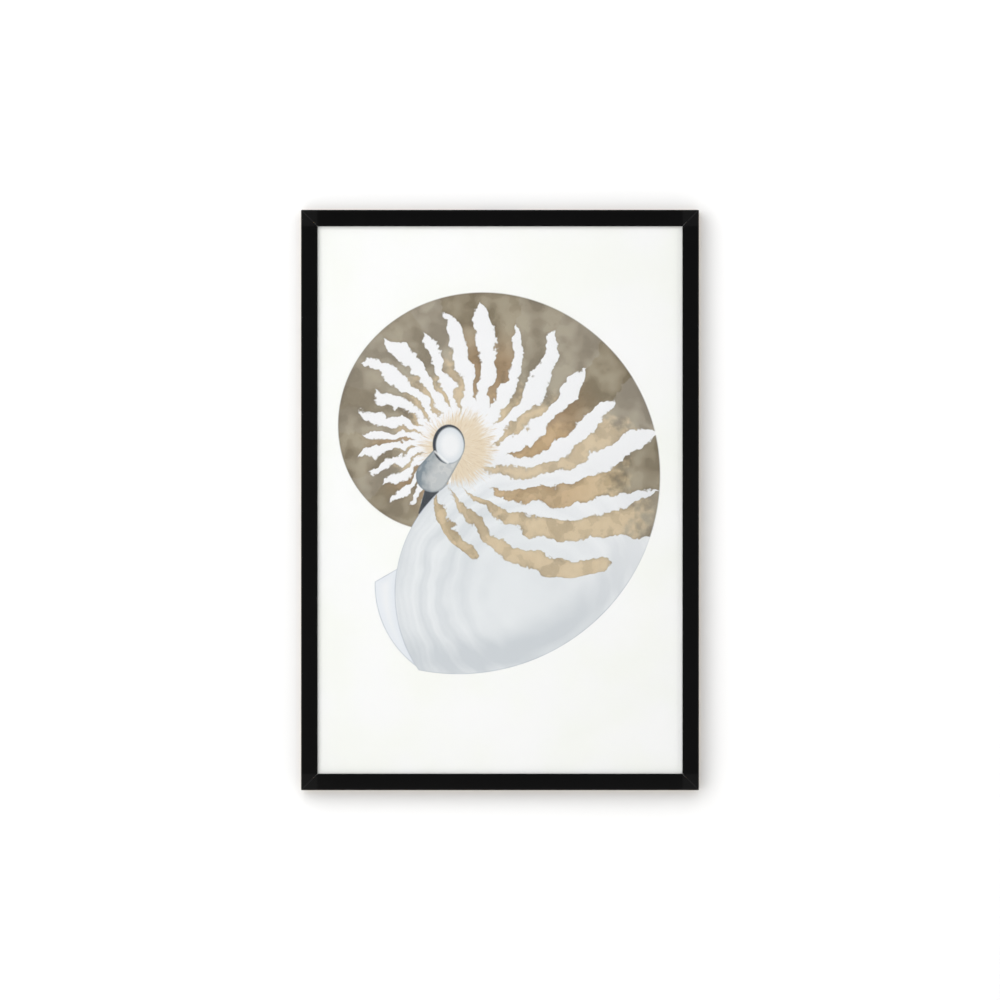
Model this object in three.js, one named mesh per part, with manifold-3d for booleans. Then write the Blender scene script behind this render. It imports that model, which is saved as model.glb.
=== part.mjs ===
// A framed art print that hangs on a wall: four mitred black rails, a clear glazing sheet, the
// printed sheet and its backing board, the steel points that hold them in, the wedges that pull
// each mitre together, a sawtooth hanger and two bumpers that keep the foot off the wall.
//
// Millimetres. X runs to the right of someone who looks at the picture, Y runs from its front
// to the wall, Z runs up. The origin is in the hanger's middle notch, on the wall.

import * as THREE from "three";
import { mergeVertices } from "three/addons/utils/BufferGeometryUtils.js";
import Module from "manifold-3d";

const wasm = await Module();
wasm.setup();

// ---- Driving dimensions ----

// The rails, whose section is an L: a face at the front, and a body behind its outer part.
const OPENING_WIDTH = 400;
const OPENING_HEIGHT = 600;
const FACE_WIDTH = 18;
const RAIL_DEPTH = 22;
const LIP_THICKNESS = 2.5;
const LIP_OVERLAP = 5;
const ARRIS = 0.8;
const MITRE_GAP = 0.3;

// The sheets that lie in the rabbet, from the lip backwards.
const SHEET_PLAY = 1;
const SHEET_GAP = 0.2;
const GLAZING_THICKNESS = 1.5;
const PRINT_THICKNESS = 0.4;
const BOARD_THICKNESS = 3;

// The clearance round every fastener that is driven into a rail.
const SLOT_CLEARANCE = 0.3;

// The flat steel points behind the backing board.
const POINT_LENGTH = 17;
const POINT_WIDTH = 9;
const POINT_THICKNESS = 0.6;
const POINT_BITE = 5;
const POINT_TIP = 3;
const POINTS_ON_SIDE = [-200, 0, 200];
const POINTS_ON_END = [-110, 110];

// The V-shaped wedges across each mitre.
const WEDGE_LEG = 4;
const WEDGE_THICKNESS = 0.8;
const WEDGE_HEIGHT = 10;
const WEDGE_HALF_ANGLE = THREE.MathUtils.degToRad(55);
const WEDGE_SINK = 0.3;
const WEDGE_PLACES = [5, 11.5];

// The sawtooth hanger: a strip whose middle stands off the rail and is toothed along its foot.
const HANGER_LENGTH = 48;
const HANGER_HEIGHT = 10;
const HANGER_THICKNESS = 1;
const HANGER_STANDOFF = 1.5;
const HANGER_FOOT = 9;
const HANGER_BEND = 2;
const TOOTH_PITCH = 3;
const TOOTH_DEPTH = 2.2;
const NOTCH_COUNT = 7;

// The two screws that hold it.
const SCREW_SPREAD = 39;
const SCREW_HEAD_RADIUS = 2.6;
const SCREW_HEAD_HEIGHT = 1.4;
const SCREW_SHANK_RADIUS = 1.1;
const SCREW_SHANK_LENGTH = 9;
const SCREW_TIP_LENGTH = 3;
const SCREW_SLOT_WIDTH = 0.7;
const SCREW_SLOT_DEPTH = 0.7;

// The bumpers on the lower corners.
const BUMPER_RADIUS = 5;
const BUMPER_FLAT_RADIUS = 3.6;
const BUMPER_HEIGHT = 3;
const BUMPER_FROM_END = 16;

const FACET_COUNT = 32;
const THIN_GAP = 0.1;

// ---- Sizes that follow ----

const OUTER_WIDTH = OPENING_WIDTH + 2 * FACE_WIDTH;
const OUTER_HEIGHT = OPENING_HEIGHT + 2 * FACE_WIDTH;
const BODY_WIDTH = FACE_WIDTH - LIP_OVERLAP;
const SHEET_WIDTH = OPENING_WIDTH + 2 * (LIP_OVERLAP - SHEET_PLAY);
const SHEET_HEIGHT = OPENING_HEIGHT + 2 * (LIP_OVERLAP - SHEET_PLAY);

const GLAZING_Y = LIP_THICKNESS + SHEET_GAP;
const PRINT_Y = GLAZING_Y + GLAZING_THICKNESS + SHEET_GAP;
const BOARD_Y = PRINT_Y + PRINT_THICKNESS + SHEET_GAP;
const POINT_Y = BOARD_Y + BOARD_THICKNESS + SHEET_GAP;

const HANGER_Y = RAIL_DEPTH + THIN_GAP;
const HANGER_Z = OUTER_HEIGHT / 2 - BODY_WIDTH / 2;
const NOTCH_Z = HANGER_Z - HANGER_HEIGHT / 2 + TOOTH_DEPTH;
const WALL_Y = RAIL_DEPTH + THIN_GAP + BUMPER_HEIGHT;

// ---- Materials ----

function finish(color, roughness, metalness = 0) {
  return new THREE.MeshStandardMaterial({ color, roughness, metalness });
}

const FINISHES = {
  rail: () => finish(0x131313, 0.5),
  glazing: () => finish(0xf4f8f8, 0.06),
  print: () => finish(0xfbfbf9, 0.9),
  board: () => finish(0x9a7350, 0.85),
  steel: () => finish(0xb4b4b0, 0.4, 1),
  hanger: () => finish(0xbfa869, 0.38, 1),
  bumper: () => finish(0x3a3a3c, 0.8),
};

// ---- Solids ----

// The closed solid of a geometry, moved by a matrix.
function solidOf(geometry, matrix = new THREE.Matrix4()) {
  const bare = geometry.clone();
  bare.deleteAttribute("normal");
  bare.deleteAttribute("uv");
  bare.applyMatrix4(matrix);
  const merged = mergeVertices(bare, 1e-4);
  return new wasm.Manifold(
    new wasm.Mesh({
      numProp: 3,
      vertProperties: merged.attributes.position.array,
      triVerts: new Uint32Array(merged.index.array),
    }),
  );
}

function geometryOf(solid) {
  const mesh = solid.getMesh();
  const geometry = new THREE.BufferGeometry();
  geometry.setAttribute("position", new THREE.BufferAttribute(mesh.vertProperties, 3));
  geometry.setIndex(new THREE.BufferAttribute(mesh.triVerts, 1));
  geometry.computeVertexNormals();
  return geometry;
}

// Cuts tools out of a piece. Piece and tools are meshes that share one parent.
function cut(piece, tools) {
  piece.updateMatrix();
  const intoPiece = piece.matrix.clone().invert();
  let solid = solidOf(piece.geometry);
  for (const tool of tools) {
    tool.updateMatrix();
    solid = solid.subtract(solidOf(tool.geometry, intoPiece.clone().multiply(tool.matrix)));
  }
  piece.geometry = geometryOf(solid);
}

// A flat outline in X and Z, given as (x, z) points, made thick along +Y from y = 0.
function plate(points, thickness) {
  const outline = new THREE.Shape(points.map(([x, z]) => new THREE.Vector2(x, -z)));
  const geometry = new THREE.ExtrudeGeometry(outline, { depth: thickness, bevelEnabled: false });
  return geometry.rotateX(-Math.PI / 2);
}

// A turned shape whose axis is Y, given as (radius, y) points from the axis back to the axis.
function turned(points) {
  return new THREE.LatheGeometry(
    points.map(([radius, y]) => new THREE.Vector2(radius, y)),
    FACET_COUNT,
  );
}

const picture = new THREE.Group();

function add(name, geometry, material, [x, y, z] = [0, 0, 0], turn = 0) {
  const mesh = new THREE.Mesh(geometry, material);
  mesh.name = name;
  mesh.position.set(x, y, z);
  mesh.rotation.y = turn;
  picture.add(mesh);
  return mesh;
}

// A cutting tool keeps the place of the piece that it makes room for, and isn't part of the group.
function toolAt(piece, geometry) {
  const tool = new THREE.Mesh(geometry);
  tool.position.copy(piece.position);
  tool.rotation.copy(piece.rotation);
  return tool;
}

// ---- Rails ----

// A rail lies along X with its outer edge at z = 0 and its inner edge below it. Each end is
// cut at 45 degrees, and set back so that the closed mitre keeps its gap.
function railGeometry(length) {
  const section = new THREE.Shape(
    [
      [0, ARRIS],
      [ARRIS, 0],
      [FACE_WIDTH - ARRIS, 0],
      [FACE_WIDTH, ARRIS],
      [FACE_WIDTH, LIP_THICKNESS],
      [BODY_WIDTH, LIP_THICKNESS],
      [BODY_WIDTH, RAIL_DEPTH],
      [0, RAIL_DEPTH],
    ].map(([inward, depth]) => new THREE.Vector2(inward, depth)),
  );
  const geometry = new THREE.ExtrudeGeometry(section, { depth: length, bevelEnabled: false });
  geometry.rotateY(Math.PI / 2).translate(-length / 2, 0, 0);
  const setBack = MITRE_GAP / Math.SQRT2;
  const position = geometry.attributes.position;
  for (let i = 0; i < position.count; i++) {
    const inward = -position.getZ(i);
    const end = Math.sign(position.getX(i));
    position.setX(i, end * (length / 2 - inward - setBack));
  }
  return geometry;
}

const SIDES = [
  { side: "top", length: OUTER_WIDTH, out: OUTER_HEIGHT / 2, quarter: 0, points: POINTS_ON_END },
  { side: "right", length: OUTER_HEIGHT, out: OUTER_WIDTH / 2, quarter: 1, points: POINTS_ON_SIDE },
  { side: "bottom", length: OUTER_WIDTH, out: OUTER_HEIGHT / 2, quarter: 2, points: POINTS_ON_END },
  { side: "left", length: OUTER_HEIGHT, out: OUTER_WIDTH / 2, quarter: 3, points: POINTS_ON_SIDE },
];

// A place on a side's rail, from its distance along the rail, in from its outer edge, and back.
function onSide({ out, quarter }, along, inward, y) {
  const place = new THREE.Vector3(along, 0, out - inward);
  place.applyAxisAngle(new THREE.Vector3(0, 1, 0), (quarter * Math.PI) / 2);
  return [place.x, y, place.z];
}

const rails = SIDES.map((side) =>
  add(
    `rail_${side.side}`,
    railGeometry(side.length),
    FINISHES.rail(),
    onSide(side, 0, 0, 0),
    (side.quarter * Math.PI) / 2,
  ),
);

// ---- Sheets ----

function sheet(name, y, thickness, material) {
  const geometry = new THREE.BoxGeometry(SHEET_WIDTH, thickness, SHEET_HEIGHT);
  add(name, geometry, material, [0, y + thickness / 2, 0]);
}

sheet("glazing_sheet", GLAZING_Y, GLAZING_THICKNESS, FINISHES.glazing());
sheet("print_sheet", PRINT_Y, PRINT_THICKNESS, FINISHES.print());
sheet("backing_board", BOARD_Y, BOARD_THICKNESS, FINISHES.board());

// ---- Points ----

// A point lies along Z. Its sharp end is up, in the rail, and its round end is down, on the board.
function pointGeometry(grow) {
  const half = POINT_WIDTH / 2;
  const side = half + grow;
  const sharp = POINT_BITE + grow;
  const foot = POINT_BITE - POINT_LENGTH + half;
  const outline = [
    [side, POINT_BITE - POINT_TIP],
    [half / 2 + grow, sharp],
    [-half / 2 - grow, sharp],
    [-side, POINT_BITE - POINT_TIP],
  ];
  const arcSteps = 10;
  for (let i = 0; i <= arcSteps; i++) {
    const angle = Math.PI + (Math.PI * i) / arcSteps;
    outline.push([side * Math.cos(angle), foot + side * Math.sin(angle)]);
  }
  return plate(outline, POINT_THICKNESS + 2 * grow).translate(0, -grow, 0);
}

SIDES.forEach((side, i) => {
  const slots = side.points.map((along, number) => {
    const point = add(
      `point_${side.side}_${number + 1}`,
      pointGeometry(0),
      FINISHES.steel(),
      onSide(side, along, BODY_WIDTH, POINT_Y),
      (side.quarter * Math.PI) / 2,
    );
    return toolAt(point, pointGeometry(SLOT_CLEARANCE));
  });
  cut(rails[i], slots);
});

// ---- Mitre wedges ----

// A wedge's fold is on the mitre line, which is local X, and its legs spread towards the inside.
function wedgeGeometry(grow, height) {
  const half = WEDGE_THICKNESS / 2 + grow;
  const leg = WEDGE_LEG + grow;
  const sine = Math.sin(WEDGE_HALF_ANGLE);
  const cosine = Math.cos(WEDGE_HALF_ANGLE);
  const outline = [
    [-half / sine, 0],
    [leg * cosine - half * sine, leg * sine + half * cosine],
    [leg * cosine + half * sine, leg * sine - half * cosine],
    [half / sine, 0],
    [leg * cosine + half * sine, -leg * sine + half * cosine],
    [leg * cosine - half * sine, -leg * sine - half * cosine],
  ];
  return plate(outline, height).translate(0, -height, 0);
}

const CORNERS = [
  { corner: "top_right", right: 1, up: 1, meeting: [0, 1] },
  { corner: "bottom_right", right: 1, up: -1, meeting: [1, 2] },
  { corner: "bottom_left", right: -1, up: -1, meeting: [2, 3] },
  { corner: "top_left", right: -1, up: 1, meeting: [3, 0] },
];

for (const { corner, right, up, meeting } of CORNERS) {
  const slots = WEDGE_PLACES.map((fromCorner, number) => {
    const reach = fromCorner / Math.SQRT2;
    const place = [right * (OUTER_WIDTH / 2 - reach), 0, up * (OUTER_HEIGHT / 2 - reach)];
    const turn = Math.atan2(up, -right);
    place[1] = RAIL_DEPTH - WEDGE_SINK;
    const wedge = add(
      `mitre_wedge_${corner}_${number + 1}`,
      wedgeGeometry(0, WEDGE_HEIGHT),
      FINISHES.steel(),
      place,
      turn,
    );
    const slotHeight = WEDGE_HEIGHT + WEDGE_SINK + 2 * SLOT_CLEARANCE;
    const slot = toolAt(wedge, wedgeGeometry(SLOT_CLEARANCE, slotHeight));
    slot.position.y += WEDGE_SINK + SLOT_CLEARANCE;
    return slot;
  });
  meeting.forEach((i) => cut(rails[i], slots));
}

// ---- Hanger and its screws ----

// The strip seen from above: both feet lie on the rail and the middle is bent clear of it.
function hangerGeometry() {
  const end = HANGER_LENGTH / 2;
  const foot = end - HANGER_FOOT;
  const middle = foot - HANGER_BEND;
  const top = HANGER_THICKNESS + HANGER_STANDOFF;
  const strip = new THREE.Shape(
    [
      [-end, 0],
      [-foot, 0],
      [-middle, HANGER_STANDOFF],
      [middle, HANGER_STANDOFF],
      [foot, 0],
      [end, 0],
      [end, HANGER_THICKNESS],
      [foot + HANGER_THICKNESS / 4, HANGER_THICKNESS],
      [middle + HANGER_THICKNESS / 4, top],
      [-middle - HANGER_THICKNESS / 4, top],
      [-foot - HANGER_THICKNESS / 4, HANGER_THICKNESS],
      [-end, HANGER_THICKNESS],
    ].map(([x, y]) => new THREE.Vector2(x, y)),
  );
  const geometry = new THREE.ExtrudeGeometry(strip, { depth: HANGER_HEIGHT, bevelEnabled: false });
  return geometry.translate(0, 0, -HANGER_HEIGHT / 2);
}

// A row of V notches, as one saw blade that is pushed up into the strip's lower edge.
function notchBlade() {
  const half = TOOTH_PITCH / 2;
  const left = -NOTCH_COUNT * half;
  const outline = [[left, -TOOTH_DEPTH]];
  for (let i = 0; i < NOTCH_COUNT; i++) {
    const notch = left + half + i * TOOTH_PITCH;
    outline.push([notch - half, 0], [notch, TOOTH_DEPTH]);
  }
  outline.push([-left, 0], [-left, -TOOTH_DEPTH]);
  return plate(outline, 4 * HANGER_STANDOFF);
}

const hanger = add("sawtooth_hanger", hangerGeometry(), FINISHES.hanger(), [0, HANGER_Y, HANGER_Z]);
const blade = toolAt(hanger, notchBlade());
blade.position.set(0, RAIL_DEPTH - HANGER_STANDOFF, HANGER_Z - HANGER_HEIGHT / 2);
cut(hanger, [blade]);

// A pan-head screw along Y: the underside of its head is at y = 0 and its tip points to -Y.
function screwGeometry() {
  return turned([
    [0, -SCREW_SHANK_LENGTH],
    [SCREW_SHANK_RADIUS, SCREW_TIP_LENGTH - SCREW_SHANK_LENGTH],
    [SCREW_SHANK_RADIUS, 0],
    [SCREW_HEAD_RADIUS, 0],
    [SCREW_HEAD_RADIUS, 0.4 * SCREW_HEAD_HEIGHT],
    [0.75 * SCREW_HEAD_RADIUS, 0.9 * SCREW_HEAD_HEIGHT],
    [0.3 * SCREW_HEAD_RADIUS, SCREW_HEAD_HEIGHT],
    [0, SCREW_HEAD_HEIGHT],
  ]);
}

// The hole that a screw's shank passes through, a little wider and deeper than the shank.
function pilotGeometry() {
  const radius = SCREW_SHANK_RADIUS + SLOT_CLEARANCE;
  const length = SCREW_SHANK_LENGTH + SLOT_CLEARANCE + 2 * HANGER_THICKNESS;
  const geometry = new THREE.CylinderGeometry(radius, radius, length, FACET_COUNT);
  return geometry.translate(0, length / 2 - SCREW_SHANK_LENGTH - SLOT_CLEARANCE, 0);
}

for (const [name, right] of [
  ["hanger_screw_left", -1],
  ["hanger_screw_right", 1],
]) {
  const seat = [(right * SCREW_SPREAD) / 2, HANGER_Y + HANGER_THICKNESS + THIN_GAP, HANGER_Z];
  const screw = add(name, screwGeometry(), FINISHES.steel(), seat);
  const driver = new THREE.BoxGeometry(
    3 * SCREW_HEAD_RADIUS,
    2 * SCREW_SLOT_DEPTH,
    SCREW_SLOT_WIDTH,
  );
  const slot = toolAt(screw, driver);
  slot.position.y += SCREW_HEAD_HEIGHT;
  const pilot = toolAt(screw, pilotGeometry());
  cut(hanger, [pilot]);
  cut(rails[0], [pilot]);
  cut(screw, [slot]);
}

// ---- Bumpers ----

const bumperProfile = [
  [0, 0],
  [BUMPER_RADIUS, 0],
  [BUMPER_RADIUS, 0.45 * BUMPER_HEIGHT],
  [0.93 * BUMPER_RADIUS, 0.75 * BUMPER_HEIGHT],
  [BUMPER_FLAT_RADIUS, BUMPER_HEIGHT],
  [0, BUMPER_HEIGHT],
];

for (const [name, right] of [
  ["bumper_left", -1],
  ["bumper_right", 1],
]) {
  const x = right * (OUTER_WIDTH / 2 - BODY_WIDTH / 2);
  const z = -OUTER_HEIGHT / 2 + BUMPER_FROM_END;
  add(name, turned(bumperProfile), FINISHES.bumper(), [x, RAIL_DEPTH + THIN_GAP, z]);
}

// ---- The part's own frame ----

picture.position.set(0, -WALL_Y, -NOTCH_Z);

const group = new THREE.Group();
group.add(picture);

export default group;
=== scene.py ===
# %% [markdown]
# # A framed shell print
# Four black rails, mitred at the corners, hold a sheet of clear glazing, a print of a nautilus
# shell and a board behind it. Steel points keep the stack in, steel wedges pull the mitres
# together, and a sawtooth hanger and two bumpers meet the wall.
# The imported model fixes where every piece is. This script gives each piece its finished shape
# and surface, in metres: X to the viewer's right, Y into the wall, Z up.

import math

import bmesh
import bpy
from mathutils import Matrix, Vector


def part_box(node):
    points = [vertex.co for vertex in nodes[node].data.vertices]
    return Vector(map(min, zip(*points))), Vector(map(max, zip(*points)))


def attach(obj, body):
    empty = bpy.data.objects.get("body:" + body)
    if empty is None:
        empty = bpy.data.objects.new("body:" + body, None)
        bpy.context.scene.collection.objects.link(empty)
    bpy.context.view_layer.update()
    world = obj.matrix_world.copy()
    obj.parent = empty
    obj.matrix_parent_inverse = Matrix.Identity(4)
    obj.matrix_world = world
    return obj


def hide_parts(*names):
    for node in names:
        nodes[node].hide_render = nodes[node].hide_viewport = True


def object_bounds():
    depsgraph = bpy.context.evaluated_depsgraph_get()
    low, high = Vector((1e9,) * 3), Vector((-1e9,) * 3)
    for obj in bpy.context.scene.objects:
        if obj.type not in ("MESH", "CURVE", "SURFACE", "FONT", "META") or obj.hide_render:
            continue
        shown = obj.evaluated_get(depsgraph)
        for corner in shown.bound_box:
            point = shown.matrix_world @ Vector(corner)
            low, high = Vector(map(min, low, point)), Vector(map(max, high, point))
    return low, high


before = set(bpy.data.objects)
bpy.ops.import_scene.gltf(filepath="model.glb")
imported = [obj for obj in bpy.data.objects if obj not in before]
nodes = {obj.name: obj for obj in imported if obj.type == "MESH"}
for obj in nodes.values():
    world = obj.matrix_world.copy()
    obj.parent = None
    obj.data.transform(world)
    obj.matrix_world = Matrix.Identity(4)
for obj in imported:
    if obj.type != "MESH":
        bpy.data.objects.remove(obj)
cad_low, cad_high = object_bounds()
scene = bpy.context.scene
MM = 0.001
print("packed nodes:", len(nodes), "box:", tuple(cad_low), tuple(cad_high))

# %% [markdown]
# ## Sizes that the later cells share
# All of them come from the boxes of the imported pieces, so a change to the model moves
# everything here with it. The play round the sheets and the gap between them can't be read
# from a box of one piece, so they are the two values that this file repeats.

# %% Sizes
SHEET_PLAY = 1.0 * MM
SHEET_GAP = 0.2 * MM

rail_low, rail_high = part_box("rail_top")
side_low, side_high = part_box("rail_right")
sheet_low, sheet_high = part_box("print_sheet")
glazing_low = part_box("glazing_sheet")[0]

outer_width = side_high.x * 2
outer_height = side_high.z - side_low.z + 2 * (rail_high.z - side_high.z)
face_width = rail_high.z - rail_low.z
rail_depth = rail_high.y - rail_low.y
opening_width = outer_width - 2 * face_width
lip_overlap = (sheet_high.x - sheet_low.x - opening_width) / 2 + SHEET_PLAY
lip_thickness = glazing_low.y - rail_low.y - SHEET_GAP
body_width = face_width - lip_overlap
front_y = rail_low.y
centre = Vector((0, front_y, rail_high.z - outer_height / 2))
print("outside", outer_width, outer_height, "face", face_width, "lip", lip_thickness)

# %% [markdown]
# ## Camera
# A picture on a wall is looked at straight on. A long lens a good six metres away keeps the
# rails' sides out of sight, and the picture's centre sits in the middle of the view.

# %% Camera
VIEW_WIDTH = 1.0958
LENS = 200
SENSOR = 36


def in_scene(name, data):
    made = bpy.data.objects.new(name, data)
    scene.collection.objects.link(made)
    return made


camera_data = bpy.data.cameras.new("camera")
camera_data.lens = LENS
camera_data.sensor_width = SENSOR
camera = in_scene("camera", camera_data)
camera.location = centre + Vector((0, -VIEW_WIDTH * LENS / SENSOR, 0))
camera.rotation_euler = (math.radians(90), 0, 0)
scene.camera = camera
scene.view_settings.view_transform = "Standard"
print("camera", round(-camera.location.y, 3), "m in front")

# %% [markdown]
# ## Writing node maths as plain arithmetic
# Shader and geometry trees do their sums with Math nodes, which are slow to place and hard to
# read as numbers. A `Wire` stands for one output socket: `1 - mask` or `height * 3` on it adds
# the right node and gives back the new output. Every other node comes from `node`, so that
# each line of a finish still reads like the sentence it carries out.

# %% Wire
def operator(operation, reflected=False):
    """A method that adds one Math node. An operation on one value leaves the other at 0."""
    def apply(self, other=0.0):
        first, second = (other, self) if reflected else (self, other)
        return self.maths(operation, first, second)
    return apply


class Wire:
    """An output socket of a node tree, with arithmetic."""

    def __init__(self, tree, socket=None):
        self.tree = tree
        self.socket = socket

    def node(self, kind, settings=None, inputs=None, output=0):
        made = self.tree.nodes.new(kind)
        for name, value in (settings or {}).items():
            setattr(made, name, value)
        for key, value in (inputs or {}).items():
            if isinstance(value, Wire):
                self.tree.links.new(value.socket, made.inputs[key])
            else:
                made.inputs[key].default_value = value
        return Wire(self.tree, made.outputs[output]) if made.outputs else made

    def maths(self, operation, first, second=0.0):
        return self.node("ShaderNodeMath", {"operation": operation}, {0: first, 1: second})

    __add__ = operator("ADD")
    __radd__ = operator("ADD", reflected=True)
    __sub__ = operator("SUBTRACT")
    __rsub__ = operator("SUBTRACT", reflected=True)
    __mul__ = operator("MULTIPLY")
    __rmul__ = operator("MULTIPLY", reflected=True)
    __truediv__ = operator("DIVIDE")
    __rtruediv__ = operator("DIVIDE", reflected=True)
    __pow__ = operator("POWER")
    __lt__ = operator("LESS_THAN")
    __gt__ = operator("GREATER_THAN")
    __abs__ = operator("ABSOLUTE")
    floor = operator("FLOOR")
    sine = operator("SINE")
    exponential = operator("EXPONENT")
    least = operator("MINIMUM")
    most = operator("MAXIMUM")

    def ramp(self, low, high, to_low=0.0, to_high=1.0):
        """Rises smoothly from to_low at low to to_high at high, and stays there."""
        inputs = {0: self, 1: low, 2: high, 3: to_low, 4: to_high}
        return self.node("ShaderNodeMapRange", {"interpolation_type": "SMOOTHSTEP"}, inputs)

    def choose(self, without, covered):
        """A colour: without where this mask is 0, covered where it is 1."""
        inputs = {0: self, 6: opaque(without), 7: opaque(covered)}
        return self.node("ShaderNodeMix", {"data_type": "RGBA"}, inputs, 2)

    def vector(self, operation, other=(0, 0, 0), output=0):
        inputs = {0: self, 1: other}
        return self.node("ShaderNodeVectorMath", {"operation": operation}, inputs, output)

    def scaled(self, factor):
        inputs = {0: self, "Scale": factor}
        return self.node("ShaderNodeVectorMath", {"operation": "SCALE"}, inputs)

    def length(self):
        return self.vector("LENGTH", output="Value")

    def parts(self):
        made = self.tree.nodes.new("ShaderNodeSeparateXYZ")
        self.tree.links.new(self.socket, made.inputs[0])
        return [Wire(self.tree, out) for out in made.outputs]

    def joined(self, y, z):
        return self.node("ShaderNodeCombineXYZ", inputs={0: self, 1: y, 2: z})

    def noise(self, scale, detail=2.0, roughness=0.5):
        inputs = {"Vector": self, "Scale": scale, "Detail": detail, "Roughness": roughness}
        return self.node("ShaderNodeTexNoise", inputs=inputs)

    def chance(self, salt):
        """A random number for each whole number."""
        inputs = {"W": self + salt}
        return self.node("ShaderNodeTexWhiteNoise", {"noise_dimensions": "1D"}, inputs)


def opaque(colour):
    return (*colour, 1.0) if isinstance(colour, tuple) and len(colour) == 3 else colour


def tone(red, green, blue):
    """A colour as a screen shows it, from 0 to 255, in the linear light that shaders use."""
    shares = [part / 255 for part in (red, green, blue)]
    return tuple(s / 12.92 if s < 0.04045 else ((s + 0.055) / 1.055) ** 2.4 for s in shares)


print("mid grey", [round(part, 3) for part in tone(119, 119, 119)])

# %% [markdown]
# ## Wall, floor and light
# The wall touches the bumpers. Its back is see-through and it stops no light, so the hardware
# behind the frame can be looked at and lit from the far side.
# The frame stands only a finger's width off the wall. One very large soft box, up and to the
# left, gives it the wide soft shadow of a daylit room, stronger to the right and below, and
# an even white surround fills that shadow. Neither is bright in a reflection, so the glazing
# stays clear and the black stays black.

# %% Wall and floor
STAGE_SIZE = 14.0
FLOOR_DROP = 1.3
WALL_CLEARANCE = 0.05 * MM
WALL_TONE = (0.81, 0.81, 0.81)
FLOOR_TONE = (0.75, 0.74, 0.72)


def empty_material(name):
    material = bpy.data.materials.new(name)
    material.use_nodes = True
    material.node_tree.nodes.clear()
    return material, Wire(material.node_tree)


def stage_plane(name, corners, colour, see_through_back):
    mesh = bpy.data.meshes.new(name)
    mesh.from_pydata(corners, [], [(0, 1, 2, 3)])
    plane = in_scene(name, mesh)
    material, start = empty_material(name)
    shader = start.node("ShaderNodeBsdfDiffuse", inputs={"Color": opaque(colour)})
    if see_through_back:
        behind = start.node("ShaderNodeNewGeometry", output="Backfacing")
        clear = start.node("ShaderNodeBsdfTransparent")
        shader = start.node("ShaderNodeMixShader", inputs={0: behind, 1: shader, 2: clear})
    start.node("ShaderNodeOutputMaterial", inputs={"Surface": shader})
    mesh.materials.append(material)
    return plane


reach = STAGE_SIZE / 2
floor_z = centre.z - FLOOR_DROP
wall_y = cad_high[1] + WALL_CLEARANCE
wall = stage_plane(
    "wall",
    [(-reach, wall_y, floor_z), (reach, wall_y, floor_z),
     (reach, wall_y, floor_z + STAGE_SIZE), (-reach, wall_y, floor_z + STAGE_SIZE)],
    WALL_TONE,
    see_through_back=True,
)
wall.visible_shadow = False
wall.visible_diffuse = False
wall.visible_glossy = False
stage_plane(
    "floor",
    [(-reach, -reach, floor_z), (reach, -reach, floor_z),
     (reach, reach, floor_z), (-reach, reach, floor_z)],
    FLOOR_TONE,
    see_through_back=False,
)

# %% Lights
BACKGROUND = 0.93
SKY = 0.695
SKY_IN_GLOSS = 0.25


def soft_box(name, offset, size, watts, glossy=True):
    data = bpy.data.lights.new(name, "AREA")
    data.shape = "DISK"
    data.size = size
    data.energy = watts
    light = in_scene(name, data)
    light.location = centre + Vector(offset)
    light.rotation_euler = Vector(offset).to_track_quat("Z", "Y").to_euler()
    light.visible_camera = False
    light.visible_glossy = glossy
    light.visible_transmission = False
    return light


soft_box("soft_box", (-1.1, -3.0, 0.9), 5.0, 115, glossy=False)
soft_box("side_strip", (3.2, -1.6, 0.6), 0.9, 6)
soft_box("back_left", (-1.9, 2.4, 1.3), 1.6, 45)
soft_box("back_right", (1.7, 2.6, -0.2), 1.2, 18)

world = bpy.data.worlds.new("studio")
scene.world = world
world.use_nodes = True
sky = Wire(world.node_tree)
from_camera, in_gloss, through_glass = (
    sky.node("ShaderNodeLightPath", output=kind)
    for kind in ("Is Camera Ray", "Is Glossy Ray", "Is Transmission Ray")
)
level = (in_gloss - through_glass).most(0) * (SKY_IN_GLOSS - SKY) + SKY
level = (BACKGROUND - level) * from_camera + level
background = world.node_tree.nodes["Background"]
background.inputs["Color"].default_value = (1, 1, 1, 1)
world.node_tree.links.new(level.socket, background.inputs["Strength"])

# %% [markdown]
# ## One way to start and end a finish
# Every finish here is one Principled shader. `new_finish` opens a material and hands back a
# wire with the Object coordinates, which are metres in the model's own frame. `close_finish`
# puts what varies into Base Color, Roughness and a Bump, and plain values everywhere else.

# %% Opening and closing a finish
def new_finish(name):
    material, start = empty_material(name)
    return material, start.node("ShaderNodeTexCoord", output="Object")


def close_finish(material, colour, roughness, height=None, relief=0.0, **fixed):
    """height is in units of relief metres, and fixed names sockets that stay the same."""
    inputs = {"Base Color": opaque(colour), "Roughness": roughness}
    inputs.update({key.replace("_", " "): value for key, value in fixed.items()})
    if height is not None:
        bump = {"Height": height, "Distance": relief}
        inputs["Normal"] = height.node("ShaderNodeBump", inputs=bump)
    shader = Wire(material.node_tree).node("ShaderNodeBsdfPrincipled", inputs=inputs)
    shader.node("ShaderNodeOutputMaterial", inputs={"Surface": shader})
    return material


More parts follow.
